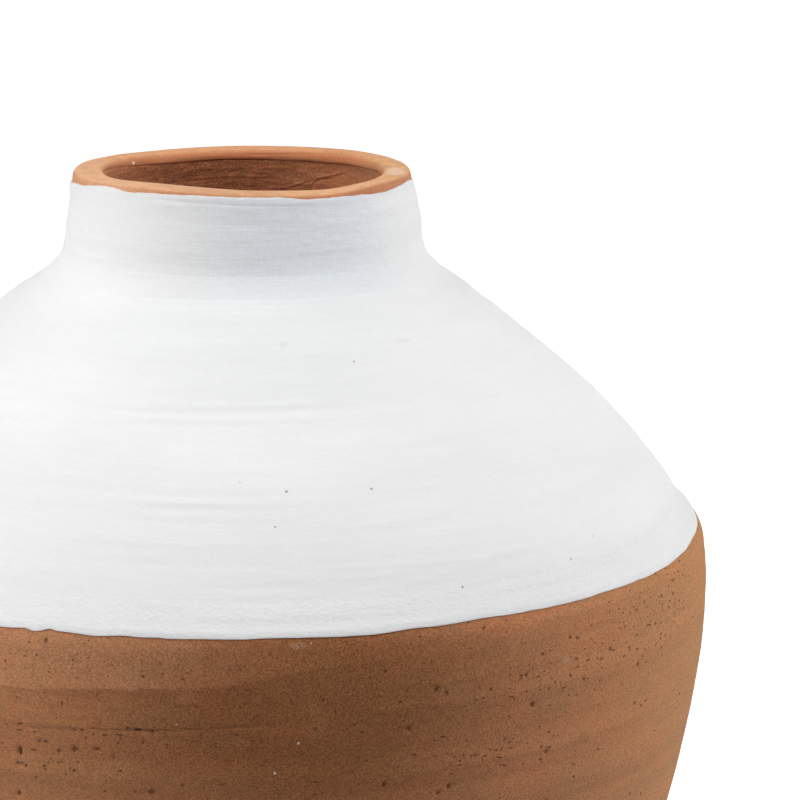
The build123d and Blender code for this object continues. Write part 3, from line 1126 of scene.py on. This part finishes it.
# Short dashes of the crack that the belly seam left: direction, level, strength
CRACK = (
    (-113.9, 0.1789, 0.25), (-111.6, 0.1794, 0.25), (-109.3, 0.1799, 0.35), (-106.4, 0.1804, 0.4),
    (-103.5, 0.1807, 0.55), (-100.8, 0.1808, 0.7), (-98.3, 0.1812, 0.6), (-95.6, 0.1818, 0.5),
    (-92.8, 0.1823, 0.45), (-90.2, 0.1828, 0.4), (-87.6, 0.1834, 0.25),
)
CRACK_TINT = (0.09, 0.034, 0.013, 1)

# A dash is this many times as long as it is tall
DASH_LENGTH = 13
DASH = (1 / DASH_LENGTH, 1 / DASH_LENGTH, 1)
CLAY_SPOTS += tuple(
    (degrees, level, None, 0.0004, DASH, strength, CRACK_TINT) for degrees, level, strength in CRACK
)

# A dab of the coat and a pale rubbed patch on the lip
LIP_SPOTS = (
    (144.6, height - 0.0024, 0.0467, 0.0009, EVEN, 1.0, (0.92, 0.91, 0.88, 1)),
    (-10.0, height - 0.0002, 0.0515, 0.0046, (1, 0.38, 1), 0.55, (0.86, 0.68, 0.56, 1)),
)

clay = terracotta(
    "terracotta",
    red=(0.474, 0.196, 0.088, 1),
    olive=(0.434, 0.19, 0.085, 1),
    umber=(0.242, 0.092, 0.033, 1),
    pale=(0.6, 0.315, 0.18, 1),
    inside_shade=(0.34, 0.122, 0.054, 1),
    pit_share=0.017,
    coarse=1.0,
    spots=CLAY_SPOTS,
)
lip_clay = terracotta(
    "lip_terracotta",
    red=(0.725, 0.395, 0.206, 1),
    olive=(0.69, 0.38, 0.204, 1),
    umber=(0.6, 0.3, 0.15, 1),
    pale=(0.76, 0.47, 0.3, 1),
    inside_shade=(0.34, 0.122, 0.054, 1),
    pit_share=0.0,
    coarse=0.0,
    spots=LIP_SPOTS,
)
white = whitewash("whitewash")

place(lower_wall(), "lower_wall", clay)
place(shoulder_wall(), "shoulder_wall", clay)
place(neck_collar(), "neck_collar", lip_clay)
place(white_coat(), "white_coat", white)
place(floor_disc(), "floor_disc", clay)
for name, node, low, high, radius, columns, material in (
    ("jar_floor_slip", "floor_slip_joint", floor_seam, floor_slip_top, foot_radius, QUARTER, clay),
    ("jar_belly_slip", "belly_slip_joint", belly_seam, belly_slip_top, belly_seam_radius, FINE, clay),
    ("jar_neck_slip", "neck_slip_joint", neck_seam, neck_slip_top, neck_seam_radius, HALF, lip_clay),
):
    place(slip_joint(name, low, high, radius, columns), node, material)


# Camera at the photograph's angle

camera_data = bpy.data.cameras.new("photo_camera")
camera_data.lens = 162.0
camera_data.sensor_width = 36.0
camera_data.clip_start = 0.05
camera_data.clip_end = 60.0
camera = new_object("photo_camera", camera_data)
camera_distance = 1.2145
camera_rise = 0.17435
aim_right = 0.05361
aim_drop = 0.08095
camera_roll = 0.443
camera.location = (0.0, -camera_distance, height + camera_rise)
camera_aim = Vector((aim_right, 0.0, height - aim_drop))
camera.rotation_mode = "QUATERNION"
facing = (camera_aim - camera.location).to_track_quat("-Z", "Y")
camera.rotation_quaternion = facing @ Quaternion((0, 0, 1), math.radians(camera_roll))
bpy.context.scene.camera = camera


# Floor, lamps and surroundings


def seen_directly(n):
    """1 on rays from the camera, a mirror or a glass, else 0."""
    path = n.add("LightPath", {}).outputs
    return n.most(n.most(path["Is Camera Ray"], path["Is Glossy Ray"]), path["Is Transmission Ray"])


# Studio floor: its half size, its gap under the foot, and the radii where its shade begins to fade
# and is gone
floor_half_size = 12.0
floor_gap = 0.0001
shade_start = 0.18
shade_end = 0.42


def studio_floor():
    """A pale floor that looks white from the camera and takes the jar's shadow near its foot."""
    mesh = bpy.data.meshes.new("studio_floor")
    half = floor_half_size
    corners = [(-half, -half, 0), (half, -half, 0), (half, half, 0), (-half, half, 0)]
    mesh.from_pydata(corners, [], [(0, 1, 2, 3)])
    floor = new_object("studio_floor", mesh)
    floor.location.z = -floor_gap
    material, n = new_material("studio_floor")
    n.tree.nodes.clear()
    plain = n.add("BsdfDiffuse", {"Color": (0.45, 0.45, 0.45, 1)}).outputs[0]
    away = n.add("VectorMath", {0: n.coordinates()}, operation="LENGTH").outputs["Value"]
    glow = n.add("Emission", {"Strength": n.ramp(away, shade_start, shade_end, 0.68, 1.0)}).outputs[0]
    shown = n.add("AddShader", {0: plain, 1: glow}).outputs[0]
    choice = n.add("MixShader", {0: seen_directly(n), 1: plain, 2: shown}).outputs[0]
    n.add("OutputMaterial", {"Surface": choice})
    mesh.materials.append(material)
    floor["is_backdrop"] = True


def surroundings(strength):
    """A dim even light from all round, that looks white behind the jar."""
    world = bpy.data.worlds.new("surroundings")
    bpy.context.scene.world = world
    world.use_nodes = True
    n = Nodes(world.node_tree)
    level = n.ramp(seen_directly(n), 0.0, 1.0, strength, 1.0)
    n.fill(n.tree.nodes["Background"], {"Color": (1, 1, 1, 1), "Strength": level})


def lamp(name, azimuth, elevation, width, tall, level):
    """A soft box aimed at the jar; a level of 1 lights a facing surface to its written colour."""
    distance = 1.6
    data = bpy.data.lights.new(name, "AREA")
    data.shape = "RECTANGLE"
    data.size = width
    data.size_y = tall
    data.energy = level * math.pi**2 * distance**2
    thing = new_object(name, data)
    a = math.radians(azimuth)
    e = math.radians(elevation)
    aim = Vector((0, 0, 0.6 * height))
    away = Vector((math.sin(a) * math.cos(e), -math.cos(a) * math.cos(e), math.sin(e)))
    thing.location = aim + distance * away
    thing.rotation_mode = "QUATERNION"
    thing.rotation_quaternion = away.to_track_quat("Z", "Y")
    thing.visible_camera = False


studio_floor()
surroundings(0.02)
lamp("left_box", -60, 10, 1.2, 1.4, 0.43)
lamp("right_box", 85, 10, 1.2, 1.4, 0.46)
lamp("upper_left_box", -80, 50, 1.4, 1.0, 0.59)
lamp("upper_right_box", 80, 50, 1.4, 1.0, 0.48)
lamp("upper_front_box", 0, 55, 1.4, 1.0, 0.18)

bpy.context.scene.view_settings.view_transform = "Standard"

low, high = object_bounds()
